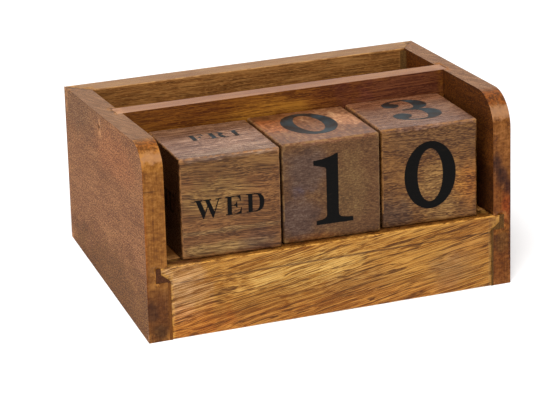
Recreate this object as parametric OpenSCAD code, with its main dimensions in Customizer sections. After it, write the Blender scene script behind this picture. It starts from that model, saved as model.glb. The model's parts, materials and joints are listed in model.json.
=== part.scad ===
// Perpetual desk calendar: a wooden case that leans back, with three lettered blocks
// standing in a tray at the front and an open slot for pens or cards behind them.
// The boards are drawn upright, with X across, Y towards the back and Z up, and
// placed() then leans the case back until the cut bottoms of its boards lie level.

/* [Case] */
// Width over both sides
case_w = 145; // [125:1:165]
// Depth along the top edge, from front to back
case_d = 88; // [84:1:120]
// Height of the front edge
case_h = 74; // [70:1:100]
// How far the case leans back, in degrees
lean = 8.8; // [4:0.1:11]
// Thickness of the left side
left_side_t = 8; // [7:0.1:9]
// Thickness of the right side
right_side_t = 7.2; // [6.5:0.1:9]
// Radius of the rounded corner at the top front of the left side
left_corner_r = 10; // [6:0.5:18]
// Radius of the rounded corner at the top front of the right side
right_corner_r = 13; // [6:0.5:18]
// Thickness of the back
back_t = 9.5; // [6:0.5:12]

/* [Tray] */
// Height of the front rail and of the tray floor above the front bottom edge
rail_h = 27.8; // [24:0.1:31]
// Thickness of the front rail
rail_t = 8; // [5:0.5:12]
// Thickness of the tray floor
floor_t = 5.5; // [4.5:0.1:7]
// Depth of the groove that holds the floor in each side
floor_groove = 4.4; // [3.5:0.1:4.8]
// Gap left along glued joints
glue_gap = 0.1; // [0.05:0.01:0.2]

/* [Divider] */
// Thickness of the divider
divider_t = 7.5; // [6:0.5:10]
// Depth of the groove that holds the divider in each side
divider_groove = 2; // [1:0.1:3]

/* [Rail ends] */
// How far each ear of the rail reaches into its side
ear_reach = 2.5; // [1.5:0.1:3.4]
// Height of the blunt tip of the left ear
left_ear_h = 2.4; // [1:0.1:3.5]
// Height of the blunt tip of the right ear
right_ear_h = 2.8; // [1:0.1:3.5]
// Gap between the rail's left end and the left side, closed with filler
left_end_gap = 1.1; // [0.6:0.1:1.5]
// Gap between the rail's right end and the right side, closed with filler
right_end_gap = 0.8; // [0.6:0.1:1.5]
// Depth of the filler behind the front face
filler_depth = 4; // [2:0.5:5]
// Width of the filler bead in the right back corner
bead_w = 1.8; // [1:0.1:2.5]

/* [Pins] */
// Diameter of the pins that hold the divider
pin_d = 1.2; // [1:0.1:1.6]
// Length of the pins
pin_l = 18; // [14:1:24]
// How deep the pin heads are punched under the surface
pin_set = 1; // [0.5:0.1:1.5]
// Distance of the pins below the top edge
pin_drop = 5; // [4:0.5:12]

/* [Blocks] */
// Width of the ledge left in front of the blocks
ledge = 4.2; // [3:0.1:8]
// Gap between the blocks and the divider
block_back_gap = 0.7; // [0.3:0.1:2]
// Gap between the left side and the day block
day_gap = 7.4; // [5:0.1:8]
// Gap between the day block and the tens block
tens_gap = 1.3; // [0.5:0.1:2]
// Gap between the tens block and the units block
units_gap = 1.3; // [0.5:0.1:2]
// Gap between the units block and the right side
right_gap = 5.4; // [4:0.1:7]
// Turn of the day block, in degrees
day_turn = -2.6; // [-3:0.1:0]
// Turn of the tens block, in degrees
tens_turn = -2.2; // [-3:0.1:0]
// Turn of the units block, in degrees
units_turn = -2.7; // [-3:0.1:0]

/* [Hidden] */
$fn = 96;
half_w = case_w / 2;
left_x = half_w - left_side_t;
right_x = half_w - right_side_t;
back_y = case_d - back_t;
block = (left_x + right_x - day_gap - tens_gap - units_gap - right_gap) / 3;
day_x = -left_x + day_gap;
tens_x = day_x + block + tens_gap;
units_x = tens_x + block + units_gap;
divider_y = ledge + block + block_back_gap;
floor_z = rail_h - floor_t;
pin_y = divider_y + divider_t / 2;
pin_z = case_h - pin_drop;
heel = case_d * tan(lean);
length_y = case_d * cos(lean) + case_h * sin(lean);
tall = 2 * case_h;
cut = 1;
dark_wood = "#6b4226";
warm_wood = "#8a5a2f";
honey_wood = "#b07a3c";
putty = "#7c6650";
steel = "#9a9a9a";

// Leans the upright drawing back and sets the middle of its length over the origin
module placed() {
    translate([0, -length_y / 2, 0])
        rotate([-lean, 0, 0])
            children();
}

// Side view (depth, height) of the whole case above its sloping bottom
module above_bottom() {
    polygon([[0, 0], [case_d, heel], [case_d, case_h], [0, case_h]]);
}

// Side view of a side board, with its top front corner rounded
module side_outline(corner_r) {
    intersection() {
        union() {
            translate([corner_r, case_h - corner_r])
                circle(corner_r);
            square([case_d, case_h - corner_r]);
            translate([corner_r, 0])
                square([case_d - corner_r, case_h]);
        }
        above_bottom();
    }
}

// Extrudes a side view (depth, height) across the case from x_from to x_to
module across(x_from, x_to) {
    translate([x_from, 0, 0])
        rotate([90, 0, 90])
            linear_extrude(x_to - x_from)
                children();
}

// The right side board: mitred at the back, grooved inside for the floor and the divider
module side_board(inner_x, corner_r) {
    difference() {
        intersection() {
            across(inner_x, half_w)
                side_outline(corner_r);
            linear_extrude(tall, center = true)
                polygon([[inner_x, 0], [half_w, 0], [half_w, case_d], [inner_x, back_y]]);
        }
        translate([inner_x - cut, -cut, floor_z])
            cube([floor_groove + cut, back_y + cut, floor_t]);
        translate([inner_x - cut, divider_y, rail_h])
            cube([divider_groove + cut, divider_t, case_h]);
        pins(pin_l + pin_set);
    }
}

module left_side() {
    color(dark_wood)
        placed()
            mirror([1, 0, 0])
                side_board(left_x, left_corner_r);
}

module right_side() {
    color(dark_wood)
        placed()
            side_board(right_x, right_corner_r);
}

// Back board, its ends mitred to meet the sides
module back_board() {
    color(warm_wood)
        placed()
            intersection() {
                linear_extrude(tall, center = true)
                    polygon([
                        [-half_w + glue_gap, case_d],
                        [half_w - glue_gap, case_d],
                        [right_x - glue_gap, back_y],
                        [-left_x + glue_gap, back_y]
                    ]);
                across(-half_w, half_w)
                    above_bottom();
            }
}

// Divider between the tray and the slot, standing on the floor
module divider() {
    reach = divider_groove - glue_gap;
    color(dark_wood)
        placed()
            difference() {
                translate([-left_x - reach, divider_y + glue_gap, rail_h])
                    cube([left_x + right_x + 2 * reach, divider_t - 2 * glue_gap, case_h - rail_h]);
                pins(pin_l + pin_set);
                mirror([1, 0, 0])
                    pins(pin_l + pin_set);
            }
}

// Front view (width, height) of the rail: its ears lie in the ends of the floor grooves
module rail_face() {
    left_end = -left_x + left_end_gap;
    right_end = right_x - right_end_gap;
    polygon([
        [left_end, 0],
        [right_end, 0],
        [right_end, floor_z],
        [right_x + ear_reach, rail_h - right_ear_h],
        [right_x + ear_reach, rail_h],
        [-left_x - ear_reach, rail_h],
        [-left_x - ear_reach, rail_h - left_ear_h],
        [left_end, floor_z]
    ]);
}

// Extrudes a front view (width, height) back from the front face
module behind_front(depth) {
    translate([0, depth, 0])
        rotate([90, 0, 0])
            linear_extrude(depth)
                children();
}

module front_rail() {
    color(honey_wood)
        placed()
            intersection() {
                behind_front(rail_t)
                    rail_face();
                across(-half_w, half_w)
                    above_bottom();
            }
}

// Floor of the tray and of the slot, held in the side grooves
module floor_board() {
    reach = floor_groove - glue_gap;
    color(warm_wood)
        placed()
            translate([-left_x - reach, rail_t + glue_gap, floor_z + glue_gap])
                cube([left_x + right_x + 2 * reach, back_y - rail_t - 2 * glue_gap, floor_t - glue_gap]);
}

// Filler round an ear on the right, in the open end of the floor groove, and down the rail's end
module ear_filler(inner_x, end_gap, ear_h) {
    intersection() {
        behind_front(filler_depth)
            polygon([
                [inner_x - end_gap, 0],
                [inner_x, 0],
                [inner_x, floor_z],
                [inner_x + floor_groove, floor_z],
                [inner_x + floor_groove, rail_h],
                [inner_x + ear_reach, rail_h],
                [inner_x + ear_reach, rail_h - ear_h],
                [inner_x - end_gap, floor_z]
            ]);
        across(-half_w, half_w)
            above_bottom();
    }
}

module left_filler() {
    color(putty)
        placed()
            mirror([1, 0, 0])
                ear_filler(left_x, left_end_gap, left_ear_h);
}

module right_filler() {
    color(putty)
        placed()
            ear_filler(right_x, right_end_gap, right_ear_h);
}

// Bead of filler in the right back corner of the slot
module corner_bead() {
    color(putty)
        placed()
            translate([right_x, back_y, rail_h])
                linear_extrude(case_h - rail_h - cut)
                    polygon([[0, 0], [-bead_w, 0], [0, -bead_w]]);
}

// The pin on the right, drawn from the outer face inwards
module pins(length) {
    translate([half_w - length, pin_y, pin_z])
        rotate([0, 90, 0])
            cylinder(h = length, d = pin_d);
}

module divider_pins() {
    color(steel)
        placed()
            for (side = [0, 1])
                mirror([side, 0, 0])
                    translate([-pin_set, 0, 0])
                        pins(pin_l);
}

// Filler over the punched pin heads
module pin_fillers() {
    color(putty)
        placed()
            for (side = [0, 1])
                mirror([side, 0, 0])
                    pins(pin_set);
}

// A block, turned about its front left bottom corner
module standing_block(x, turn) {
    reach_back = block * cos(turn);
    placed()
        translate([x, divider_y - block_back_gap - reach_back, rail_h])
            rotate([0, 0, turn])
                cube(block);
}

module day_block() {
    color(warm_wood)
        standing_block(day_x, day_turn);
}

module tens_block() {
    color(dark_wood)
        standing_block(tens_x, tens_turn);
}

module units_block() {
    color(honey_wood)
        standing_block(units_x, units_turn);
}

left_side();
right_side();
back_board();
divider();
front_rail();
floor_board();
left_filler();
right_filler();
corner_bead();
divider_pins();
pin_fillers();
day_block();
tens_block();
units_block();
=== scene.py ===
"""Looks of the perpetual desk calendar: waxed boards with eased arrises, filler in the joints, painted words.

Lengths are in metres, except in the wood patterns and the wear. These work in millimetres of the upright
case: x across, y from its front edge to the back, z up from its front bottom edge.
"""

import json
import math

import bmesh
import bpy
from mathutils import Matrix, Vector, noise


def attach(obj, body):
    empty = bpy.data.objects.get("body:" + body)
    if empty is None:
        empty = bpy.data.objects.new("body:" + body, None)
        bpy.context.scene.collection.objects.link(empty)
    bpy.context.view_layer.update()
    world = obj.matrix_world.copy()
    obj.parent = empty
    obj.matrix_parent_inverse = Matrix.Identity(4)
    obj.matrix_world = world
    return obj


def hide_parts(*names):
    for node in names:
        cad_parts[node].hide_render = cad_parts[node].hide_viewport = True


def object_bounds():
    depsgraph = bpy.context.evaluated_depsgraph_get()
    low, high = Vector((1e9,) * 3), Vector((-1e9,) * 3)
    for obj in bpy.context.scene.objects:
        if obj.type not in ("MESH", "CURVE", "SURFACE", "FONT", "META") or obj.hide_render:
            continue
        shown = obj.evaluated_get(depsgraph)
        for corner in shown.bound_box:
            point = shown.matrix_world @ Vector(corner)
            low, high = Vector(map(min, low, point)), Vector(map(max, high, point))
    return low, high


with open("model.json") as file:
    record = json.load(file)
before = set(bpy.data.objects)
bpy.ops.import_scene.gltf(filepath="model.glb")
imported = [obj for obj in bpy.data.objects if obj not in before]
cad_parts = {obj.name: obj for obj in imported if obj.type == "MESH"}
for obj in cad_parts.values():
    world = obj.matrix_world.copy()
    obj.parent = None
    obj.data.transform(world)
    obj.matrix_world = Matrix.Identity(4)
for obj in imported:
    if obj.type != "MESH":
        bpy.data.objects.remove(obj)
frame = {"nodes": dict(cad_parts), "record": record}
cad_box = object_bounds()
NODES = frame["nodes"]

# The case before it leans back, in millimetres
MM = 0.001
LEAN = math.radians(8.8)
CASE_W, CASE_D, CASE_H = 145.0, 88.0, 74.0
LEFT_SIDE_T, RIGHT_SIDE_T, BACK_T = 8.0, 7.2, 9.5
LEFT_CORNER_R, RIGHT_CORNER_R = 10.0, 13.0
RAIL_H, RAIL_T, FLOOR_T = 27.8, 8.0, 5.5
DIVIDER_T, DIVIDER_GROOVE = 7.5, 2.0
LEDGE, BLOCK_BACK_GAP = 4.2, 0.7
DAY_GAP, TENS_GAP, UNITS_GAP, RIGHT_GAP = 7.4, 1.3, 1.3, 5.4

# How far the painted characters stand off the wood, in millimetres
PAINT_T = 0.03

# Worked out from these
LEFT_X, RIGHT_X = CASE_W / 2 - LEFT_SIDE_T, CASE_W / 2 - RIGHT_SIDE_T
BACK_Y = CASE_D - BACK_T
FLOOR_Z = RAIL_H - FLOOR_T
BLOCK = (LEFT_X + RIGHT_X - DAY_GAP - TENS_GAP - UNITS_GAP - RIGHT_GAP) / 3
DIVIDER_Y = LEDGE + BLOCK + BLOCK_BACK_GAP
HALF_LENGTH = (CASE_D * math.cos(LEAN) + CASE_H * math.sin(LEAN)) / 2
TO_LEANING = Matrix.Rotation(-LEAN, 3, "X")
TO_UPRIGHT = Matrix.Rotation(LEAN, 3, "X")


def upright(point):
    """A point of the leaning frame as millimetres of the upright case."""
    return TO_UPRIGHT @ (Vector(point) / MM + Vector((0, HALF_LENGTH, 0)))


def leaning(spot):
    """A spot of the upright case, in millimetres, as a point of the leaning frame."""
    return (TO_LEANING @ Vector(spot) - Vector((0, HALF_LENGTH, 0))) * MM


def srgb(code, factor=1.0):
    """A colour written as a hex code, as the linear values that the shader takes, each times a factor."""
    parts = [int(code[i:i + 2], 16) / 255 for i in (1, 3, 5)]
    linear = [c / 12.92 if c <= 0.04045 else ((c + 0.055) / 1.055) ** 2.4 for c in parts]
    return [min(1.0, c * factor) for c in linear] + [1.0]


def add_object(name, data):
    """A new object in the scene."""
    made = bpy.data.objects.new(name, data)
    bpy.context.scene.collection.objects.link(made)
    return made


# ---------------------------------------------------------------- shader graph helper

# Sockets of the Mix node that carry colours
MIX_A, MIX_B, MIX_RESULT = 6, 7, 2


class Graph:
    """A material's node tree, written as nested calls. A value is a number, a tuple or a node's output."""

    def __init__(self, name):
        self.material = bpy.data.materials.new(name)
        self.material.use_nodes = True
        self.tree = self.material.node_tree
        self.tree.nodes.clear()
        self.shader = self.tree.nodes.new("ShaderNodeBsdfPrincipled")
        output = self.tree.nodes.new("ShaderNodeOutputMaterial")
        self.tree.links.new(self.shader.outputs["BSDF"], output.inputs["Surface"])

    def put(self, value, socket):
        if isinstance(value, bpy.types.NodeSocket):
            self.tree.links.new(value, socket)
        else:
            socket.default_value = value

    def node(self, kind, **settings):
        made = self.tree.nodes.new("ShaderNode" + kind)
        for key, value in settings.items():
            setattr(made, key, value)
        return made

    def math(self, operation, a, b=0.0):
        made = self.node("Math", operation=operation)
        self.put(a, made.inputs[0])
        self.put(b, made.inputs[1])
        return made.outputs[0]

    def add(self, a, b):
        return self.math("ADD", a, b)

    def times(self, a, b):
        return self.math("MULTIPLY", a, b)

    def swing(self, layer, size):
        """A layer's ups and downs about 0. They are size wide where the layer runs from 0 to 1."""
        return self.times(self.add(layer, -0.5), size)

    def split(self, vector):
        made = self.node("SeparateXYZ")
        self.put(vector, made.inputs[0])
        return made.outputs[0], made.outputs[1], made.outputs[2]

    def join(self, x, y, z):
        made = self.node("CombineXYZ")
        for value, socket in zip((x, y, z), made.inputs):
            self.put(value, socket)
        return made.outputs[0]

    def vector(self, operation, a, b):
        made = self.node("VectorMath", operation=operation)
        self.put(a, made.inputs[0])
        self.put(b, made.inputs[1])
        return made.outputs[0]

    def length(self, vector):
        made = self.node("VectorMath", operation="LENGTH")
        self.put(vector, made.inputs[0])
        return made.outputs["Value"]

    def noise(self, vector, scale=1.0, detail=2.0, roughness=0.5):
        made = self.node("TexNoise")
        self.put(vector, made.inputs["Vector"])
        self.put(scale, made.inputs["Scale"])
        self.put(detail, made.inputs["Detail"])
        self.put(roughness, made.inputs["Roughness"])
        return made.outputs["Fac"]

    def step(self, value, low, high):
        """0 below low and 1 above high, smooth between. With low above high it falls instead."""
        made = self.node("MapRange", interpolation_type="SMOOTHSTEP")
        self.put(value, made.inputs["Value"])
        self.put(low, made.inputs["From Min"])
        self.put(high, made.inputs["From Max"])
        return made.outputs["Result"]

    def band(self, value, low, high, soft):
        """1 between low and high, fading out over soft on both sides."""
        return self.times(self.step(value, low - soft, low), self.step(value, high + soft, high))

    def mix(self, share, a, b, blend="MIX"):
        made = self.node("Mix", data_type="RGBA", blend_type=blend)
        self.put(share, made.inputs["Factor"])
        self.put(a, made.inputs[MIX_A])
        self.put(b, made.inputs[MIX_B])
        return made.outputs[MIX_RESULT]

    def ramp(self, value, places, codes):
        """The hex colours at their places from 0 to 1, blended between."""
        made = self.node("ValToRGB")
        elements = made.color_ramp.elements
        while len(elements) < len(codes):
            elements.new(0.5)
        for element, place, code in zip(elements, places, codes):
            element.position = place
            element.color = srgb(code)
        self.put(value, made.inputs[0])
        return made.outputs["Color"]

    def case_place(self):
        """The place on the upright case, in millimetres."""
        made = self.node("Mapping", vector_type="POINT")
        self.put(self.node("TexCoord").outputs["Object"], made.inputs["Vector"])
        made.inputs["Scale"].default_value = (1 / MM, 1 / MM, 1 / MM)
        made.inputs["Rotation"].default_value = (LEAN, 0, 0)
        made.inputs["Location"].default_value = TO_UPRIGHT @ Vector((0, HALF_LENGTH, 0))
        return made.outputs["Vector"]

    def facing(self):
        """The surface's normal in the object's own axes, as x, y and z."""
        return self.split(self.node("TexCoord").outputs["Normal"])

    def finish(self, colour, height, bump, bump_mm, rough, specular=0.5, coat=0.0, coat_rough=0.3, metal=0.0):
        """Wires the shader. bump_mm is the depth that a height of 1 stands for. rough may be an output."""
        made = self.node("Bump")
        made.inputs["Strength"].default_value = bump
        made.inputs["Distance"].default_value = bump_mm * MM
        self.put(height, made.inputs["Height"])
        self.tree.links.new(made.outputs["Normal"], self.shader.inputs["Normal"])
        self.put(colour, self.shader.inputs["Base Color"])
        self.put(rough, self.shader.inputs["Roughness"])
        self.shader.inputs["Specular IOR Level"].default_value = specular
        self.shader.inputs["Coat Weight"].default_value = coat
        self.shader.inputs["Coat Roughness"].default_value = coat_rough
        self.shader.inputs["Metallic"].default_value = metal
        return self.material


# ---------------------------------------------------------------- wood patterns

# Layers of a board's grain: length and thickness of one feature in millimetres, detail and roughness
GRAIN_LAYERS = {
    "figure": (26.0, 6.0, 3.0, 0.6),
    "streaks": (34.0, 0.5, 1.0, 0.55),
    "fibres": (10.0, 0.13, 1.0, 0.55),
    "flecks": (5.0, 0.2, 0.0, 0.55),
    "sheen": (1.6, 0.22, 0.0, 0.55),
}
# How slowly the grain wanders, along and across it, in turns of the noise for each millimetre
WANDER_ALONG, WANDER_ACROSS = 0.025, 0.06
# Sizes of one spot in millimetres
END_SPOT = (0.8, 0.8, 0.8)
SIDE_SPOT = (0.45, 0.8, 0.45)
BLOCK_SPOT = (1.6, 1.6, 0.4)
EDGE_SPOT = (2.5, 2.5, 1.6)
# Depth in millimetres that a height of 1 stands for in long grain, in cut fibres and in filler
GRAIN_BUMP, FACE_BUMP, FILLER_BUMP = 0.12, 0.15, 0.2
# Mesh attribute that is 1 on the rounded arrises
ARRIS = "arris"


def grain(g, place, flow, seed, rise=0.0, sway=1.0, stretch=1.0):
    """Layers of a board's grain, each about 0.3 to 0.7, and "down", the millimetres across it.

    flow is the axis that the grain runs along, rise its slope against the board, sway how far it wanders in
    millimetres, and stretch lengthens everything in it.
    """
    x, y, z = g.split(place)
    along, a, b = {"x": (x, y, z), "y": (y, x, z), "z": (z, x, y)}[flow]
    slow = g.join(g.times(along, WANDER_ALONG), g.times(a, WANDER_ACROSS), g.times(b, WANDER_ACROSS))
    wander = g.swing(g.noise(g.vector("ADD", slow, (seed, seed, 0))), sway * 4)
    b = g.add(g.add(b, g.times(along, rise)), wander)
    a = g.add(a, g.times(wander, 0.5))
    layers = {"down": b}
    for key, (length, thick, detail, roughness) in GRAIN_LAYERS.items():
        scaled = g.join(g.times(along, 1 / (length * stretch)), g.times(a, 1 / thick), g.times(b, 1 / thick))
        moved = g.vector("ADD", scaled, (seed, seed * 1.3, seed * 0.7))
        layers[key] = g.noise(moved, 1.0, detail, roughness)
    return layers


def tone(g, layers, figure, streaks, fibres):
    """One value from the layers, about 0.5 in the mean, spread by their shares."""
    parts = [g.swing(layers["figure"], figure * 2), g.swing(layers["streaks"], streaks * 2),
             g.swing(layers["fibres"], fibres * 2)]
    return g.add(0.5, g.add(parts[0], g.add(parts[1], parts[2])))


def growth_lines(g, layers, spacing):
    """Thin dark lines a few millimetres apart that come and go along the grain."""
    turn = g.math("FRACT", g.add(g.times(layers["down"], 1 / spacing), g.times(layers["figure"], 5.0)))
    return g.times(g.band(turn, 0.43, 0.57, 0.06), g.step(layers["streaks"], 0.62, 0.46))


def speckle(g, place, seed, spot):
    """Cut fibre ends, about 0.3 to 0.7. spot is the size of one in millimetres."""
    scaled = g.vector("MULTIPLY", place, tuple(1 / size for size in spot))
    return g.noise(g.vector("ADD", scaled, (seed, seed, seed)), roughness=0.75)


def patch(g, place, middle, reach):
    """1 inside an ellipsoid round middle, fading out. Its outline is ragged."""
    offset = g.vector("MULTIPLY", g.vector("SUBTRACT", place, middle), tuple(1 / r for r in reach))
    waves = g.noise(place, scale=0.16, detail=4.0, roughness=0.6)
    return g.step(g.add(g.length(offset), g.swing(waves, 1.6)), 1.5, 0.5)


def stain(g, colour, place, marks, shade):
    """Tints patches of a colour so that the grain stays in them. Each is (middle, reach, code, strength), and
    the code is the hex colour that the board's middle shade takes there.
    """
    for middle, reach, code, strength in marks:
        tint = [new / old for new, old in zip(srgb(code), srgb(shade))]
        tinted = g.mix(1.0, colour, tint, "MULTIPLY")
        colour = g.mix(g.times(patch(g, place, middle, reach), strength), colour, tinted)
    return colour


def worn_and_highlit_arris(g, colour, place, pale):
    """Rubs the rounded arrises paler in places, as wear and as a painted highlight. pale is the hex colour of
    the board's pale grain.
    """
    arris = g.node("Attribute", attribute_name=ARRIS).outputs["Fac"]
    wear_and_highlight = g.step(g.noise(place, scale=0.35, detail=4.0, roughness=0.7), 0.42, 0.6)
    # Paler than the pale grain: worn wood and a painted highlight along the arris
    return g.mix(g.times(arris, g.times(wear_and_highlight, 0.8)), colour, srgb(pale, 1.4))


def board(name, seed, shades, sway, flecks, rough, coat, specular, contrast=1.0, sheen=0.0, rise=0.0,
          stretch=1.0, lines=0.0, spacing=4.0, marks=(), ends=None):
    """Long-grained board across the case. shades are its dark, middle and pale colours, and ends the dark and
    pale colours of its cut ends. lines, flecks and sheen are the strengths of its growth lines, of its dark
    pores and of its pale glints.
    """
    dark_code, middle_code, pale_code = shades
    g = Graph(name)
    place = g.case_place()
    layers = grain(g, place, "x", seed, rise, sway, stretch)
    value = tone(g, layers, 0.3 * contrast, 0.3 * contrast, 0.6 * contrast)
    colour = g.ramp(value, (0.3, 0.5, 0.7), shades)
    pore_colour = srgb(dark_code, 0.6)
    colour = g.mix(g.times(growth_lines(g, layers, spacing), lines), colour, pore_colour)
    pores = g.step(layers["flecks"], 0.4, 0.32)
    colour = g.mix(g.times(pores, flecks), colour, pore_colour)
    glints = g.step(layers["sheen"], 0.56, 0.68)
    colour = g.mix(g.times(glints, sheen), colour, srgb(pale_code, 1.3))
    colour = stain(g, colour, place, marks, middle_code)
    if ends:
        cut_colour = g.ramp(speckle(g, place, seed, END_SPOT), (0.35, 0.65), ends)
        facing_x = g.facing()[0]
        is_end = g.step(g.math("ABSOLUTE", facing_x), 0.6, 0.85)
        colour = g.mix(is_end, colour, cut_colour)
    colour = worn_and_highlit_arris(g, colour, place, pale_code)
    height = g.add(layers["fibres"], g.add(g.times(layers["flecks"], 0.8), g.times(pores, -0.5)))
    uneven = g.add(rough - 0.1, g.times(layers["streaks"], 0.2))
    return g.finish(colour, height, bump=0.35, bump_mm=GRAIN_BUMP, rough=uneven, specular=specular, coat=coat)


def cut_face(name, seed, shades, spot, marks, contrast=2.1, rough=0.45, coat=0.0, specular=0.12):
    """Face cut across the fibres: fine speckle with soft mottling. spot is the size of one speck."""
    g = Graph(name)
    place = g.case_place()
    specks = speckle(g, place, seed, spot)
    mottle = g.noise(g.vector("MULTIPLY", place, (1.0, 0.35, 1.0)), scale=0.11, detail=3.0, roughness=0.6)
    fibres = g.noise(g.vector("MULTIPLY", place, (1.6, 0.08, 1.6)))
    value = g.add(g.swing(specks, contrast), g.swing(fibres, 0.4))
    value = g.add(value, g.add(0.3, g.times(mottle, 0.4)))
    colour = g.ramp(value, (0.2, 0.5, 0.8), shades)
    colour = stain(g, colour, place, marks, shades[1])
    colour = worn_and_highlit_arris(g, colour, place, shades[2])
    uneven = g.add(rough, g.times(specks, 0.2))
    return g.finish(colour, specks, bump=0.4, bump_mm=FACE_BUMP, rough=uneven, specular=specular, coat=coat)


def side_edge(name, seed, shades, top_shades, bend_shades, corner_r, marks):
    """Edges of a side: pinkish streaked top, and a waxed honey front with an orange band where it bends.

    shades and top_shades are dark, middle and pale. bend_shades are those of the band and of the painted
    highlight under it.
    """
    band_code, highlight_code = bend_shades
    g = Graph(name)
    place = g.case_place()
    x, y, z = g.split(place)

    upright_grain = grain(g, place, "z", seed, rise=0.03)
    mottle = speckle(g, place, seed, EDGE_SPOT)
    front_value = g.add(g.times(tone(g, upright_grain, 0.35, 0.15, 0.2), 0.5), g.times(mottle, 0.5))
    front = g.ramp(front_value, (0.39, 0.5, 0.61), shades)

    across_top = g.join(g.add(x, g.times(y, 0.45)), g.times(y, 0.12), z)
    cross = g.noise(across_top, scale=1.1, detail=3.0, roughness=0.65)
    top_grain = grain(g, place, "y", seed + 4, rise=0.5)
    top_value = g.add(g.times(top_grain["fibres"], 0.6), g.times(cross, 0.4))
    top = g.ramp(top_value, (0.36, 0.5, 0.62), top_shades)
    past_bend = g.step(y, corner_r * 0.45, corner_r * 0.95)
    on_top = g.times(past_bend, g.step(z, CASE_H - corner_r, CASE_H - 1.5))
    colour = g.mix(on_top, front, top)

    at_bend = g.step(y, corner_r, corner_r * 0.6)
    ragged = g.add(z, g.swing(g.noise(place, scale=0.5, detail=3.0, roughness=0.7), 5.0))
    band = g.times(g.band(ragged, CASE_H - corner_r * 0.25, CASE_H + 4.0, corner_r * 0.12), at_bend)
    clouds = g.noise(place, scale=0.7, detail=3.0, roughness=0.7)
    burnt = g.mix(g.step(clouds, 0.42, 0.6), srgb(shades[0]), srgb(band_code))
    colour = g.mix(g.times(band, 0.85), colour, burnt)
    # Painted highlight: a paler band on the bend, under the orange band
    spot = g.band(ragged, CASE_H - corner_r * 0.56, CASE_H - corner_r * 0.46, corner_r * 0.2)
    painted_highlight = g.times(spot, at_bend)
    colour = g.mix(g.times(painted_highlight, 0.48), colour, srgb(highlight_code))

    colour = stain(g, colour, place, marks, shades[1])
    colour = worn_and_highlit_arris(g, colour, place, shades[2])
    height = g.add(upright_grain["fibres"], g.times(cross, 0.6))
    rough = g.add(0.24, g.times(on_top, 0.3))
    return g.finish(colour, height, bump=0.22, bump_mm=GRAIN_BUMP, rough=rough, specular=0.08, coat=0.1,
                    coat_rough=0.18)


def filler_material():
    """Wood filler: matt and slightly grainy. On the left it is dark in the groove and the colour of the wood
    below it, and on the right it is olive brown.
    """
    g = Graph("filler")
    place = g.case_place()
    x, _, z = g.split(place)
    lumps = g.noise(place, scale=1.6, detail=4.0, roughness=0.7)
    ends = (0.35, 0.65)
    groove = g.ramp(lumps, ends, ("#34190a", "#5a341c"))
    strip = g.ramp(lumps, ends, ("#552e10", "#7a4a1e"))
    right = g.ramp(lumps, ends, ("#402810", "#6c4a22"))
    left = g.mix(g.step(z, FLOOR_Z - 1.0, FLOOR_Z), strip, groove)
    colour = g.mix(g.step(x, -5.0, 5.0), left, right)
    return g.finish(colour, lumps, bump=0.4, bump_mm=FILLER_BUMP, rough=0.7, specular=0.1)


def steel_material():
    """Drawn wire."""
    g = Graph("pin_steel")
    x, y, z = g.split(g.case_place())
    drawn = g.noise(g.join(g.times(x, 0.05), y, z), scale=9.0)
    colour = g.ramp(drawn, (0.3, 0.7), ("#8c8c8c", "#b4b4b4"))
    return g.finish(colour, drawn, bump=0.2, bump_mm=0.02, rough=0.35, metal=1.0)


def paint_material():
    """Thin black paint, a little worn along the grain, and on the top faces a mottled slate grey as a painted
    reflection.
    """
    g = Graph("paint")
    place = g.case_place()
    x, y, z = g.split(place)
    wear = g.noise(g.join(g.times(x, 0.12), y, z), scale=2.4, detail=4.0, roughness=0.65)
    fresh = g.ramp(wear, (0.3, 0.62, 0.76), ("#040302", "#080605", "#20160e"))
    # Painted reflection: paint that faces up turns mottled slate grey
    reflection_mottle = g.noise(place, scale=0.12, detail=3.0)
    painted_reflection = g.ramp(reflection_mottle, (0.4, 0.55, 0.7), ("#251e1a", "#2b3335", "#384348"))
    facing_z = g.facing()[2]
    colour = g.mix(g.step(facing_z, 0.6, 0.85), fresh, painted_reflection)
    return g.finish(colour, wear, bump=0.15, bump_mm=0.05, rough=0.3, specular=0.07)


# ---------------------------------------------------------------- boards

# How close two places count as the same, in millimetres
NEAR = 0.1
# Waves of the wear, in turns of the noise for each millimetre
SLOW_WEAR, FAST_WEAR = 0.09, 0.42
# Bends between faces that make an edge worth easing, a point part of an arris, and a crease in the shading
EDGE_BEND, ARRIS_BEND, CREASE_BEND = math.radians(30), math.radians(8), math.radians(50)
# How squarely a face looks sideways or up, to count as a side's face or a board's top
SIDEWAYS, UPWARD = 0.75, 0.7
# The part of a side round its pin's hole: half its width, and its height from the top down
PIN_REACH, PIN_DEPTH = 1.0, 8.0
# How close to a side a point counts as the rail's end
RAIL_END = 1.6


def cut_grid(shape, pitch):
    """Cuts all faces by planes a pitch apart, in millimetres, so that they can wear unevenly."""
    spots = [upright(vert.co) for vert in shape.verts]
    for axis in range(3):
        low = min(spot[axis] for spot in spots)
        high = max(spot[axis] for spot in spots)
        direction = Vector([float(k == axis) for k in range(3)])
        count = int((high - low) / pitch)
        for i in range(1, count + 1):
            place = low + (high - low) * i / (count + 1)
            bmesh.ops.bisect_plane(shape, geom=shape.verts[:] + shape.edges[:] + shape.faces[:],
                                   dist=0.01 * MM, plane_co=leaning(direction * place),
                                   plane_no=TO_LEANING @ direction)


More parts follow.
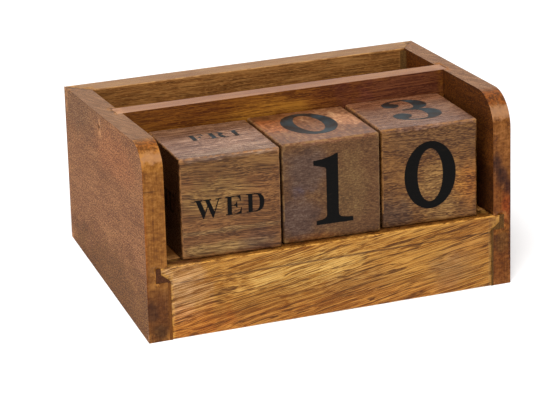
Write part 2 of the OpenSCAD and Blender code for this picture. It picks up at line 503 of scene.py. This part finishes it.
def wear_down(shape, arris_wear, face_wear, seed):
    """Moves the surface in by up to face_wear, and the rounded arrises by arris_wear more, in millimetres."""
    shape.normal_update()
    arris = shape.verts.layers.float.new(ARRIS)
    moves = {}
    for vert in shape.verts:
        spot = upright(vert.co)
        slow = noise.noise(spot * SLOW_WEAR + Vector((seed, 0, 0)))
        fast = noise.noise(spot * FAST_WEAR + Vector((0, seed, 0)))
        depth = face_wear * max(0.0, 0.5 + 0.5 * slow)
        bend = max(vert.normal.angle(face.normal, 0.0) for face in vert.link_faces)
        if bend > ARRIS_BEND:
            vert[arris] = 1.0
            depth += arris_wear * max(0.0, 0.35 * slow + 0.65 * fast + 0.1)
        moves[vert] = vert.normal * (-depth * MM)
    for vert, move in moves.items():
        vert.co = [min(max(c, low), high) for c, low, high in zip(vert.co + move, *cad_box)]


def dress(node, materials, arris, tight=None, choose=None, pitch=5.0, arris_wear=0.25, face_wear=0.06,
          seed=1.0):
    """Stands a worn copy of a CAD solid in for it: same faces, with the free arrises rounded and chipped.

    arris is the radius in millimetres. tight(a, b) is true for an edge that stays sharp because it lies in a
    joint, given by its ends on the upright case. choose(normal, middle) gives the index of a face's material.
    """
    mesh = NODES[node].data.copy()
    mesh.name = node + "_wood"
    shape = bmesh.new()
    shape.from_mesh(mesh)
    bmesh.ops.remove_doubles(shape, verts=shape.verts, dist=0.002 * MM)
    bmesh.ops.dissolve_limit(shape, angle_limit=math.radians(1), verts=shape.verts, edges=shape.edges)
    cut_grid(shape, pitch)
    free = []
    for edge in shape.edges:
        if len(edge.link_faces) != 2 or edge.calc_face_angle(0.0) < EDGE_BEND:
            continue
        a, b = (upright(vert.co) for vert in edge.verts)
        if not (tight and tight(a, b)):
            free.append(edge)
    bmesh.ops.bevel(shape, geom=free, offset=arris * MM, segments=3, profile=0.5, affect="EDGES",
                    clamp_overlap=True)
    bmesh.ops.triangulate(shape, faces=[face for face in shape.faces if len(face.verts) > 4])
    wear_down(shape, arris_wear, face_wear, seed)
    for face in shape.faces:
        face.smooth = True
        middle = upright(face.calc_center_median())
        face.material_index = choose(TO_UPRIGHT @ face.normal, middle) if choose else 0
    mesh.materials.clear()
    for material in materials:
        mesh.materials.append(material)
    shape.to_mesh(mesh)
    shape.free()
    mesh.set_sharp_from_angle(angle=CREASE_BEND)
    piece = add_object(node + "_wood", mesh)
    piece.modifiers.new("even_normals", "WEIGHTED_NORMAL").keep_sharp = True
    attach(piece, next(b for b, members in frame["record"]["behaviour"]["bodies"].items() if node in members))
    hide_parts(node)


def give_material(node, material):
    """Gives a CAD solid its material as it is."""
    NODES[node].data.materials.clear()
    NODES[node].data.materials.append(material)


def in_floor_groove(a, b):
    return all(FLOOR_Z - NEAR < p.z < RAIL_H + NEAR and abs(p.x) > LEFT_X - NEAR for p in (a, b))


def at_back_mitre(a, b):
    slanting = abs(a.y - b.y) > 2 * NEAR and abs(a.x - b.x) > 2 * NEAR
    return slanting and all(p.y > BACK_Y - NEAR for p in (a, b))


def in_divider_groove(a, b):
    return all(DIVIDER_Y - NEAR < p.y < DIVIDER_Y + DIVIDER_T + NEAR and p.z > RAIL_H - NEAR
               and abs(p.x) < RIGHT_X + DIVIDER_GROOVE + NEAR for p in (a, b))


def at_pin(a, b):
    pin_y = DIVIDER_Y + DIVIDER_T / 2
    return all(abs(p.y - pin_y) < PIN_REACH and p.z > CASE_H - PIN_DEPTH for p in (a, b))


def in_side_joint(a, b):
    """Edges of a side that lie in its grooves, at its pin or in its mitre."""
    inner_corner = all(abs(p.y - BACK_Y) < NEAR and abs(p.x) < RIGHT_X + NEAR for p in (a, b))
    return (in_floor_groove(a, b) or in_divider_groove(a, b) or at_pin(a, b) or inner_corner
            or at_back_mitre(a, b))


def in_back_joint(a, b):
    inner_corner = all(abs(p.y - BACK_Y) < NEAR and abs(p.x) > LEFT_X - 1 for p in (a, b))
    return inner_corner or at_back_mitre(a, b)


def in_divider_joint(a, b):
    return all(abs(p.x) > LEFT_X for p in (a, b)) or all(p.z < RAIL_H + NEAR for p in (a, b))


def in_rail_joint(a, b):
    at_end = all(abs(p.x) > LEFT_X - RAIL_END for p in (a, b))
    return at_end or all(p.y > RAIL_T - NEAR for p in (a, b))


def in_case(a, b):
    """All edges of the floor lie in joints."""
    return True


def side_part(normal, middle):
    """0 for the outer face of a side, 1 for its edges and 2 for its inner face."""
    if abs(normal.x) < SIDEWAYS:
        return 1
    return 0 if normal.x * middle.x > 0 else 2


def top_part(normal, middle):
    """1 for the top of a board and 0 for the rest of it."""
    return int(normal.z > UPWARD)


# ---------------------------------------------------------------- painted characters

# Each character has its width and its outlines, on a grid where a capital is 100 high. M starts an outline,
# L is a straight line, C a curve with two handles, and E a whole ellipse (its middle, then half its width and
# half its height). An outline inside another is a hole.
GLYPHS = {
    "0": (77, [
        "E38.5,50 38.5,51",
        "E38.5,50 19,40",
    ]),
    "1": (54, [
        "M0,0 L0,6 C10,7.5 15.5,8 15.5,14 L15.5,78 C15.5,81 14,82 11,82.5 L-3,86.5 L-3,93"
        " C8,93 22,96 30,100 L33,100 L33,14 C33,8 38,7.5 54,6 L54,0",
    ]),
    "2": (69, [
        "M2,0 L2,6 C10,24 46,40 46,70 C46,86 41,96 29,96 C20,96 13,92 13,88 C13,86 26,86 26,75"
        " C26,68 21,64 14,64 C6,64 0,70 0,78 C0,92 14,102 34,102 C54,102 68,90 68,72 C68,48 36,36 20,20"
        " C24,22 30,22 36,20 C46,16 52,12 57,12 C63,12 64,18 65,24 L69,24 L67,0",
    ]),
    "3": (72, [
        "M0,24 C0,9 14,-2 35,-2 C58,-2 72,10 72,28 C72,42 63,50 48,52.5 C61,55 68,64 68,76"
        " C68,92 54,102 35,102 C17,102 4,93 4,81 C4,73 9,68 16,68 C23,68 28,73 28,79 C28,88 19,88 19,91"
        " C19,95 26,97 33,97 C43,97 47,90 47,76 C47,62 42,55 31,55 L24,55 L24,50 L32,50"
        " C45,50 50,42 50,27 C50,11 45,3 34,3 C25,3 17,6 17,10 C17,13 27,14 27,25 C27,32 21,37 14,37"
        " C6,37 0,31 0,24",
    ]),
    "4": (74, [
        "M26,0 L26,5 L40,6 L40,24 L0,24 L0,29 L46,101 L60,101 L60,30 L74,30 L74,24 L60,24 L60,6 L72,5"
        " L72,0",
        "M7,30 L40,30 L40,81",
    ]),
    "5": (70, [
        "M6,100 L6,45 L11,45 C16,51 22,54 31,54 C44,54 48,44 48,28 C48,11 43,3 32,3 C24,3 17,6 17,10"
        " C17,13 26,14 26,24 C26,31 21,35 14,35 C6,35 0,30 0,22 C0,8 13,-2 33,-2 C56,-2 70,11 70,30"
        " C70,49 57,60 37,60 C27,60 18,58 12,53 L12,82 C26,79 52,79 64,100",
    ]),
    "6": (71, [
        "M66,84 C66,94 54,102 40,102 C16,102 0,80 0,47 C0,16 13,-2 36,-2 C58,-2 71,11 71,31"
        " C71,50 59,62 42,62 C33,62 26,58 22,52 C22,84 30,97 41,97 C46,97 50,95 50,92"
        " C50,89 43,88 43,81 C43,75 48,71 54,71 C61,71 66,76 66,84",
        "E36,29 14,26",
    ]),
    "7": (70, [
        "M2,100 L2,68 L6,68 C9,82 16,84 26,84 L58,84 C40,62 24,40 22,8 C22,2 26,-2 33,-2"
        " C40,-2 45,3 45,10 C45,40 52,62 70,94 L70,100",
    ]),
    "8": (73, [
        "M0,25 C0,9 14,-2 36,-2 C59,-2 73,9 73,27 C73,41 64,48 53,53 C63,58 69,65 69,77"
        " C69,92 56,102 37,102 C18,102 5,92 5,76 C5,65 11,58 22,52 C8,47 0,39 0,25",
        "M16,25 C16,38 22,45 30,48 C46,42 52,36 52,24 C52,11 46,3 36,3 C24,3 16,10 16,25",
        "M45,57 C32,62 24,68 24,80 C24,91 29,97 37,97 C48,97 54,90 54,77 C54,67 51,61 45,57",
    ]),
    "A": (84, [
        "M0,0 L0,6 L8,6 L39,102 L44,102 L76,6 L84,6 L84,0 L44,0 L44,6 L54,6 L45.5,30 L21.2,30 L13,6"
        " L23,6 L23,0",
        "M22.8,35 L33.2,67.8 L43.9,35",
    ]),
    "D": (84, [
        "M0,0 L0,6 L9,6 L9,94 L0,94 L0,100 L42,100 C72,100 84,78 84,50 C84,22 72,0 42,0",
        "M29,5 L40,5 C58,5 62,25 62,50 C62,75 58,95 40,95 L29,95",
    ]),
    "E": (76, [
        "M0,0 L0,6 L9,6 L9,94 L0,94 L0,100 L70,100 L72,70 L68,70 C66,88 58,95 42,95 L29,95 L29,53"
        " L36,53 C46,53 49,58 51,68 L55,68 L55,34 L51,34 C49,44 46,48 36,48 L29,48 L29,5 L44,5"
        " C62,5 69,14 72,33 L76,33 L73,0",
    ]),
    "F": (70, [
        "M0,0 L0,6 L9,6 L9,94 L0,94 L0,100 L68,100 L70,70 L66,70 C64,88 56,95 40,95 L29,95 L29,52"
        " L35,52 C45,52 48,57 50,67 L54,67 L54,33 L50,33 C48,43 45,47 35,47 L29,47 L29,6 L39,6 L39,0",
    ]),
    "H": (86, [
        "M0,0 L0,6 L9,6 L9,94 L0,94 L0,100 L38,100 L38,94 L29,94 L29,53 L57,53 L57,94 L48,94 L48,100"
        " L86,100 L86,94 L77,94 L77,6 L86,6 L86,0 L48,0 L48,6 L57,6 L57,48 L29,48 L29,6 L38,6 L38,0",
    ]),
    "I": (38, [
        "M0,0 L0,6 L9,6 L9,94 L0,94 L0,100 L38,100 L38,94 L29,94 L29,6 L38,6 L38,0",
    ]),
    "M": (104, [
        "M0,0 L0,6 L9,6 L9,94 L0,94 L0,100 L31,100 L53,30 L75,100 L104,100 L104,94 L95,94 L95,6 L104,6"
        " L104,0 L66,0 L66,6 L75,6 L75,82 L48,-1 L44,-1 L14,90 L14,6 L24,6 L24,0",
    ]),
    "N": (86, [
        "M0,0 L0,6 L9,6 L9,94 L0,94 L0,100 L26,100 L72,32 L72,94 L62,94 L62,100 L86,100 L86,94 L77,94"
        " L77,-2 L72,-2 L14,84 L14,6 L24,6 L24,0",
    ]),
    "O": (88, [
        "E44,50 44,52",
        "E44,50 22,47",
    ]),
    "R": (86, [
        "M0,0 L0,6 L9,6 L9,94 L0,94 L0,100 L44,100 C64,100 74,90 74,75 C74,61 65,53 52,51"
        " C64,49 67,42 68,30 C69,14 71,6 76,6 C79,6 81,7 82,12 L86,12 C85,3 80,-2 70,-2"
        " C54,-2 48,8 47,26 C46,42 44,49 34,49 L29,49 L29,6 L38,6 L38,0",
        "M29,95 L29,54 L38,54 C50,54 52,62 52,75 C52,88 50,95 38,95",
    ]),
    "S": (69, [
        "M6,-1 L2,-1 L2,36 L6,36 C9,16 20,3 36,3 C48,3 54,9 54,19 C54,29 48,34 34,39 C14,46 3,54 3,72"
        " C3,90 15,102 34,102 C44,102 52,97 57,91 L61,101 L65,101 L65,68 L61,68 C57,86 48,97 35,97"
        " C24,97 18,91 18,82 C18,72 26,68 38,63 C58,56 69,47 69,29 C69,11 57,-2 37,-2 C26,-2 17,3 11,10",
    ]),
    "T": (78, [
        "M18,0 L18,6 L29,6 L29,95 L24,95 C12,95 6,86 4,70 L0,70 L1,100 L77,100 L78,70 L74,70"
        " C72,86 66,95 54,95 L49,95 L49,6 L60,6 L60,0",
    ]),
    "U": (82, [
        "M0,100 L0,94 L8,94 L8,32 C8,10 20,-2 42,-2 C64,-2 74,10 74,32 L74,94 L82,94 L82,100 L60,100"
        " L60,94 L69,94 L69,32 C69,14 62,6 48,6 C34,6 28,14 28,32 L28,94 L37,94 L37,100",
    ]),
    "W": (122, [
        "M0,100 L0,94 L7,94 L38,-2 L43,-2 L61.8,60 L82,-2 L87,-2 L114,94 L122,94 L122,100 L98,100"
        " L98,94 L109,94 L91.1,31.2 L70,94 L78,94 L78,100 L42,100 L42,94 L50,94 L59.2,67.9 L48.8,33.5"
        " L29,94 L37,94 L37,100",
    ]),
}
CAPITAL_H = 100
# Length of the handles that make a curve a quarter of a round circle
ROUND = 0.5523


def ellipse_knots(middle, halves):
    """The knots of an ellipse, each as (point, handle in, handle out)."""
    (cx, cy), (rx, ry) = middle, halves
    return [
        ((cx + rx * c, cy + ry * s), (cx + rx * (c + ROUND * s), cy + ry * (s - ROUND * c)),
         (cx + rx * (c - ROUND * s), cy + ry * (s + ROUND * c)))
        for c, s in ((1, 0), (0, 1), (-1, 0), (0, -1))
    ]


def outline_knots(outline):
    """The knots of an outline, each as (point, handle in, handle out). A straight line's handles lie on its
    ends.
    """
    if outline[0] == "E":
        return ellipse_knots(*([float(v) for v in pair.split(",")] for pair in outline[1:].split()))
    knots = []
    for step in outline.replace("L", "|L").replace("C", "|C").split("|"):
        pairs = [tuple(float(v) for v in pair.split(",")) for pair in step[1:].split()]
        if step[0] == "C":
            knots[-1][2] = pairs[0]
            knots.append([pairs[2], pairs[1], None])
        else:
            knots.append([pairs[0], None, None])
    if (Vector(knots[0][0]) - Vector(knots[-1][0])).length < 0.01:
        knots[0][1] = knots[-1][1]
        knots.pop()
    return [(point, into or point, out or point) for point, into, out in knots]


def word_curve(word, height, gap, widen):
    """The word as one flat filled curve, centred on its own middle. height and gap are in millimetres, and
    widen stretches it across.
    """
    curve = bpy.data.curves.new("outline", "CURVE")
    curve.dimensions = "2D"
    curve.fill_mode = "BOTH"
    curve.resolution_u = 10
    scale = height / CAPITAL_H * MM
    space = gap * MM / scale / widen
    total = sum(GLYPHS[character][0] for character in word) + space * (len(word) - 1)
    pen = -total / 2
    for character in word:
        width, outlines = GLYPHS[character]
        for outline in outlines:
            knots = outline_knots(outline)
            spline = curve.splines.new("BEZIER")
            spline.bezier_points.add(len(knots) - 1)
            spline.use_cyclic_u = True
            for target, knot in zip(spline.bezier_points, knots):
                target.handle_left_type = target.handle_right_type = "FREE"
                for (x, y), key in zip(knot, ("co", "handle_left", "handle_right")):
                    setattr(target, key, ((x + pen) * scale * widen, (y - CAPITAL_H / 2) * scale, 0))
        pen += width + space
    return curve


def flat_mesh(curve):
    """The curve's filled outline as a mesh. The curve is used up."""
    maker = add_object("outline", curve)
    bpy.context.view_layer.update()
    mesh = bpy.data.meshes.new_from_object(maker.evaluated_get(bpy.context.evaluated_depsgraph_get()))
    bpy.data.objects.remove(maker)
    bpy.data.curves.remove(curve)
    return mesh


def paint_block(block, faces, paint, height, shifts, gap=1.0, widen=1.0):
    """Paints the six faces of a block, each word upright when its face is turned to the front.

    height is that of a capital, and gap the space between two letters, in millimetres. shifts moves the words
    of some faces to their right and up, in millimetres.
    """
    corners = {tuple(round(c, 7) for c in vert.co) for vert in NODES[block].data.vertices}
    middle = sum((Vector(corner) for corner in corners), Vector()) / len(corners)
    normals = [face.normal.copy() for face in NODES[block].data.polygons]
    right, back, up = (max(normals, key=lambda normal: normal[axis]) for axis in range(3))
    half = max((Vector(corner) - middle).dot(right) for corner in corners)
    lays = {
        "front": (right, up, -back),
        "top": (right, back, up),
        "back": (right, -up, back),
        "bottom": (right, -back, -up),
        "left": (-back, up, -right),
        "right": (back, up, right),
    }
    for face, word in faces.items():
        across, upward, out = lays[face]
        shift_across, shift_up = shifts.get(face, (0.0, 0.0))
        start = middle + out * (half + PAINT_T * MM) + (across * shift_across + upward * shift_up) * MM
        turned = Matrix((across, upward, out)).transposed().to_4x4()
        mesh = flat_mesh(word_curve(word, height, gap, widen))
        mesh.transform(Matrix.Translation(start) @ turned)
        mesh.name = block + "_" + face
        mesh.materials.clear()
        mesh.materials.append(paint)
        piece = add_object(block + "_" + face, mesh)
        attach(piece, block.split("_")[0])


# ---------------------------------------------------------------- the object

# Marks in the wood are (middle, reach, colour, strength), in millimetres of the upright case.

# Sides: their outer faces, their edges and the inner faces towards the tray and the slot.
# The inner faces are painted darker than the outer ones, as painted shade.
SIDE_SHADES = ("#432312", "#7d4d2c", "#b27f52")
left_face = cut_face("left_side_face", 3.0, SIDE_SHADES, SIDE_SPOT, specular=0.05, marks=(
    ((-72, 80, 74), (9, 32, 15), "#5f4028", 0.5),
    ((-72, 40, 8), (9, 60, 16), "#5f3817", 0.8),
    ((-72, 30, 62), (9, 22, 9), "#8c4c28", 0.35),
))
right_face = cut_face("right_side_face", 41.0, SIDE_SHADES, SIDE_SPOT, specular=0.05, marks=(
    ((72, 74, 20), (9, 26, 22), "#633e24", 0.5),
    ((72, 22, 44), (9, 20, 12), "#8c5428", 0.4),
))
# Painted shade: the inner faces take a darker copy of the side wood, and the first mark darkens the right
# side's inner face further, low down beside the units block. The second mark is an orange patch at the slot.
shaded_inner_face = cut_face("shaded_inner_side_face", 57.0, ("#280f04", "#4c2509", "#704016"), SIDE_SPOT, marks=(
    ((66, 20, 34), (4, 30, 14), "#2a1204", 0.6),
    ((66, 62, 60), (4, 12, 14), "#643008", 0.6),
))
left_edge = side_edge("left_side_edge", 11.0, shades=("#613610", "#7f4d19", "#99652c"),
                      top_shades=("#4c2e1a", "#7f5737", "#a67a54"), bend_shades=("#96531a", "#c08c60"),
                      corner_r=LEFT_CORNER_R, marks=(
    ((-68, 0, 5), (14, 9, 18), "#50290c", 0.7),
    ((-71, 0, 12), (2.4, 3, 4), "#3c1e0c", 0.6),
    ((-68, 0, 4), (3, 3, 2.5), "#3e280e", 0.6),
    ((-67, 0, 13), (2.2, 3, 5), "#6a3a10", 0.6),
    ((-73.5, 0, 36), (1.6, 4, 34), "#86400e", 0.5),
    ((-70.5, 0, 57), (3.2, 2, 0.35), "#3a1c08", 0.6),
))
right_edge = side_edge("right_side_edge", 23.0, shades=("#522a0e", "#754417", "#945d2c"),
                       top_shades=("#4a2a16", "#83593a", "#b0845c"), bend_shades=("#8e4c18", "#c4926a"),
                       corner_r=RIGHT_CORNER_R, marks=(
    ((66.5, 0, 48), (2.4, 3, 3.6), "#34180c", 0.85),
    ((69, 0, 43), (2.6, 3, 3.8), "#34180c", 0.85),
    ((71.6, 0, 38.5), (2.4, 3, 3.4), "#3c1a0e", 0.85),
    ((70.8, 0, 31), (2.0, 3, 5.5), "#8c3a0c", 0.6),
    ((69, 0, 20), (7, 3, 26), "#602e04", 0.75),
    ((68.5, 0, 17.5), (3, 3, 4.5), "#5c4420", 0.5),
    # Painted shade: a narrow dark strip along the outer front arris
    ((72.5, 0, 24), (0.8, 3, 18), "#401c0c", 0.6),
))
dress("left_side", (left_face, left_edge, shaded_inner_face), arris=0.7, tight=in_side_joint, choose=side_part,
      seed=2.0)
dress("right_side", (right_face, right_edge, shaded_inner_face), arris=0.7, tight=in_side_joint, choose=side_part,
      seed=5.0)

# Back and floor, with the darker tray and slot floor
back_wood = board("back_wood", 27.0, ("#5c3818", "#865224", "#a6743e"), sway=0.6, contrast=1.1, flecks=0.45,
                  sheen=0.4, rough=0.5, coat=0.05, specular=0.15, marks=(
    ((0, 25, 28), (200, 22, 2), "#643610", 0.85),
))
back_top = board("back_top_wood", 29.0, ("#7a5029", "#926434", "#a97e4e"), sway=0.6, flecks=0.3,
                 rough=0.5, coat=0.05, specular=0.3)
dress("back_board", (back_wood, back_top), arris=0.5, tight=in_back_joint, choose=top_part, seed=8.0)

# Divider: a golden patch left of its middle, and a purplish right end
divider_wood = board("divider_wood", 33.0, ("#4a2209", "#66360e", "#8c561b"), sway=0.6, flecks=0.45,
                     sheen=0.35, rough=0.45, coat=0.05, specular=0.12, marks=(
    ((48, 43, 60), (24, 12, 22), "#54281a", 0.8),
    ((22, 43, 66), (12, 12, 12), "#5c2c10", 0.6),
    ((-50, 43, 62), (18, 12, 12), "#6e3c12", 0.4),
    ((-4, 43, 65), (16, 12, 7), "#88521a", 0.6),
))
divider_top = board("divider_top_wood", 35.0, ("#845539", "#98653f", "#ac7a52"), sway=0.6, flecks=0.2,
                    rough=0.5, coat=0.05, specular=0.3)
dress("divider", (divider_wood, divider_top), arris=0.4, tight=in_divider_joint, choose=top_part, seed=11.0)

# Rail: long golden grain that climbs to the right, with a thin dark line near its top, and its ledge
# painted darker under the blocks as painted shadow
rail_wood = board("rail_wood", 12.0, ("#6c3b0b", "#a0651c", "#bf8a40"), sway=1.0, rise=-0.16, stretch=2.0,
                  lines=0.95, spacing=3.2, contrast=1.8, flecks=0.65, sheen=0.2, rough=0.4, coat=0.1,
                  specular=0.12, marks=(
    ((-60, 0, 18), (10, 9, 10), "#b58446", 0.5),
    ((-58, 0, 3), (18, 9, 8), "#a85a12", 0.6),
    ((5, 0, 2), (50, 9, 5), "#a25c16", 0.5),
    ((-12, 0, 18), (24, 9, 6), "#c08a34", 0.6),
    ((10, 0, 10), (16, 9, 5), "#8a561c", 0.5),
    ((48, 0, 9), (9, 9, 7), "#7c4f20", 0.6),
    ((60, 0, 20), (12, 9, 9), "#96591a", 0.5),
    ((0, 0, 21.4), (76, 2, 0.35), "#5c330c", 0.85),
    # Painted shadow: the ledge darker where the blocks stand on it
    ((0, 5.7, 28), (200, 3.9, 2), "#4e2406", 0.9),
))
dress("front_rail", (rail_wood,), arris=0.5, tight=in_rail_joint, seed=14.0)
dress("floor_board", (back_wood,), arris=0.2, tight=in_case, face_wear=0.0, arris_wear=0.0)

# Day block: long grain, with cut ends at its left and right, darker end grain made darker still as
# painted shade. Its top is paler as a painted reflection, and darker at the back as a painted reflection
# of the divider.
day_wood = board("day_block_wood", 51.0, ("#3f2412", "#5e371a", "#8a5e35"), sway=1.8, contrast=1.4,
                 flecks=0.25, sheen=0.2, rough=0.28, coat=0.15, specular=0.1,
                 # The cut ends: darker end grain, made darker still as painted shade
                 ends=("#2a160c", "#4a2c18"), marks=(
    ((-38, 4, 62), (22, 9, 5), "#553618", 0.5),
    ((-44, 4, 50), (12, 9, 6), "#725028", 0.5),
    ((-40, 4, 31), (17, 9, 2.0), "#886436", 0.45),
    ((-28, 4, 31), (7, 9, 5), "#482a1c", 0.6),
    ((-40, 4, 37.4), (24, 9, 0.9), "#8a663c", 0.4),
    # Painted reflection: the whole top paler
    ((-38, 22, 66), (30, 30, 1.6), "#88604a", 0.9),
    # Painted reflection of the divider: the back of the top darker
    ((-38, 37, 66), (26, 9, 2), "#46230a", 0.8),
))
dress("day_block", (day_wood,), arris=0.8, pitch=3.0, arris_wear=0.3, face_wear=0.03, seed=17.0)

# Tens block: cut faces all round, with purplish clouds on the front and orange ones on the top. Its top
# is paler as a painted reflection, and darker at the back as a painted reflection of the divider.
tens_wood = cut_face("tens_block_wood", 64.0, ("#35200f", "#5a391f", "#7c5c38"), BLOCK_SPOT, contrast=1.0,
                     rough=0.24, coat=0.15, specular=0.1, marks=(
    ((-9, 4, 55), (9, 9, 8), "#4c3830", 0.7),
    ((-12, 4, 38), (8, 9, 8), "#48342e", 0.7),
    ((8, 4, 46), (7, 9, 12), "#664828", 0.6),
    ((-8, 4, 29), (10, 9, 1.5), "#7a4416", 0.5),
    # Painted reflection: the whole top paler
    ((4, 24, 66), (30, 30, 1.6), "#825438", 0.85),
    ((-12, 28, 66), (6, 8, 2), "#8c5026", 0.5),
    ((16, 24, 66), (5, 8, 2), "#94643c", 0.5),
    # Painted reflection of the divider: the back of the top darker
    ((-10, 38, 66), (10, 7, 2), "#46240a", 0.7),
    ((12, 40, 66), (16, 4, 2), "#4a260c", 0.5),
))
dress("tens_block", (tens_wood,), arris=0.8, pitch=3.0, arris_wear=0.3, face_wear=0.03, seed=20.0)

# Units block: long grain with many pale glints, and the most worn arrises. Its top is paler as a painted
# reflection, and darker at the back as a painted reflection of the divider.
units_wood = board("units_block_wood", 77.0, ("#3c200e", "#543014", "#865c30"), sway=0.6, contrast=1.1,
                   flecks=0.3, sheen=0.55, rough=0.28, coat=0.15, specular=0.1, marks=(
    ((44, 4, 40), (10, 9, 9), "#714b25", 0.6),
    ((57, 4, 41), (6, 9, 7), "#743c10", 0.6),
    ((42, 4, 61), (20, 9, 6), "#4c2e18", 0.5),
    ((24, 4, 31), (8, 9, 8), "#38241a", 0.6),
    # Painted reflection: the whole top paler
    ((42, 22, 66), (30, 30, 1.6), "#6a4430", 0.9),
    # Painted reflection of the divider: the back of the top darker
    ((42, 38, 66), (24, 8, 2), "#4e2409", 0.7),
))
dress("units_block", (units_wood,), arris=0.8, pitch=3.0, arris_wear=0.5, face_wear=0.03, seed=23.0)

# Filler and pins keep their solids
filler = filler_material()
for node in ("left_filler", "right_filler", "corner_bead", "pin_fillers"):
    give_material(node, filler)
give_material("divider_pins", steel_material())

# Painted words and figures
paint = paint_material()
DAY_FACES = {"front": "WED", "top": "FRI", "back": "MON", "bottom": "TUE", "left": "THU", "right": "SAT"}
TENS_FACES = {"front": "1", "top": "0", "back": "2", "bottom": "6", "left": "7", "right": "8"}
UNITS_FACES = {"front": "0", "top": "3", "back": "1", "bottom": "2", "left": "4", "right": "5"}
paint_block("day_block", DAY_FACES, paint, height=7.0, gap=1.7, widen=1.17,
            shifts={"front": (-0.6, -0.6), "top": (1.8, 4.0)})
paint_block("tens_block", TENS_FACES, paint, height=26.6, shifts={"front": (1.0, 0.0), "top": (-0.6, 2.0)})
paint_block("units_block", UNITS_FACES, paint, height=25.6, widen=1.04,
            shifts={"front": (0.1, -0.4), "top": (1.0, 1.6)})


# ---------------------------------------------------------------- stage, light and camera

def lift_for_camera(tree, socket, level, seen_level):
    """Gives a socket seen_level for camera and glossy rays, and level for the rays that light the object."""
    rays = tree.nodes.new("ShaderNodeLightPath")
    seen = tree.nodes.new("ShaderNodeMath")
    seen.operation = "MAXIMUM"
    tree.links.new(rays.outputs["Is Camera Ray"], seen.inputs[0])
    tree.links.new(rays.outputs["Is Glossy Ray"], seen.inputs[1])
    chosen = tree.nodes.new("ShaderNodeMapRange")
    chosen.inputs["To Min"].default_value = level
    chosen.inputs["To Max"].default_value = seen_level
    tree.links.new(seen.outputs[0], chosen.inputs["Value"])
    tree.links.new(chosen.outputs["Result"], socket)


def stage_floor(reach, drop):
    """White floor that keeps a faint shadow and shows as plain white elsewhere."""
    mesh = bpy.data.meshes.new("floor")
    corners = [(-reach, -reach, -drop), (reach, -reach, -drop), (reach, reach, -drop), (-reach, reach, -drop)]
    mesh.from_pydata(corners, [], [(0, 1, 2, 3)])
    floor = add_object("floor", mesh)
    material = bpy.data.materials.new("floor")
    material.use_nodes = True
    shader = material.node_tree.nodes["Principled BSDF"]
    shader.inputs["Base Color"].default_value = (0.9, 0.9, 0.9, 1)
    shader.inputs["Roughness"].default_value = 0.9
    shader.inputs["Emission Color"].default_value = (1, 1, 1, 1)
    lift_for_camera(material.node_tree, shader.inputs["Emission Strength"], 0.0, 0.25)
    mesh.materials.append(material)


def lamp(name, place, size, power):
    """Soft square lamp at place, turned to the object."""
    data = bpy.data.lights.new(name, "AREA")
    data.size = size
    data.energy = power
    made = add_object(name, data)
    made.location = place
    made.rotation_euler = (Vector(LAMP_TARGET) - Vector(place)).to_track_quat("-Z", "Y").to_euler()


def stage_world(strength):
    """Even light, with a plain white backdrop for the camera and for reflections."""
    world = bpy.data.worlds.new("studio")
    bpy.context.scene.world = world
    world.use_nodes = True
    background = world.node_tree.nodes["Background"]
    background.inputs["Color"].default_value = (1, 1, 1, 1)
    lift_for_camera(world.node_tree, background.inputs["Strength"], strength, 1.0)


def stage_camera():
    """Camera at its measured place, looking at its target, with its measured roll."""
    sin_azimuth, cos_azimuth = math.sin(CAM_AZIMUTH), math.cos(CAM_AZIMUTH)
    sin_elevation, cos_elevation = math.sin(CAM_ELEVATION), math.cos(CAM_ELEVATION)
    back = Vector((sin_azimuth * cos_elevation, -cos_azimuth * cos_elevation, sin_elevation))
    right = Vector((cos_azimuth, sin_azimuth, 0))
    up = back.cross(right)
    rolled_right = right * math.cos(CAM_ROLL) + up * math.sin(CAM_ROLL)
    rolled_up = up * math.cos(CAM_ROLL) - right * math.sin(CAM_ROLL)
    turned = Matrix((rolled_right, rolled_up, back)).transposed().to_4x4()
    data = bpy.data.cameras.new("camera")
    data.sensor_width = SENSOR_W
    data.lens = FOCAL_PX / IMAGE_W * SENSOR_W
    data.clip_end = CAM_REACH
    camera = add_object("camera", data)
    camera.matrix_world = Matrix.Translation(CAM_TARGET + back * CAM_DISTANCE) @ turned
    bpy.context.scene.camera = camera


LAMP_TARGET = (0, 0, 0.03)

# The camera's direction and distance are measured in the photograph against the case's width.
IMAGE_W = 550
FOCAL_PX = 2654.7
SENSOR_W = 36.0
CAM_AZIMUTH, CAM_ELEVATION, CAM_ROLL = math.radians(-22.93), math.radians(26.54), math.radians(1.99)
CAM_DISTANCE = 1.00914
CAM_TARGET = Vector((-0.00457, 0.0, 0.0213))
CAM_REACH = 20.0

stage_floor(reach=3.0, drop=0.02 * MM)
stage_world(strength=0.5)
lamp("key", (-0.25, -0.35, 1.0), size=0.5, power=9.0)
lamp("fill", (-0.9, -0.5, 0.35), size=0.6, power=3.0)
stage_camera()
bpy.context.scene.view_settings.view_transform = "Standard"
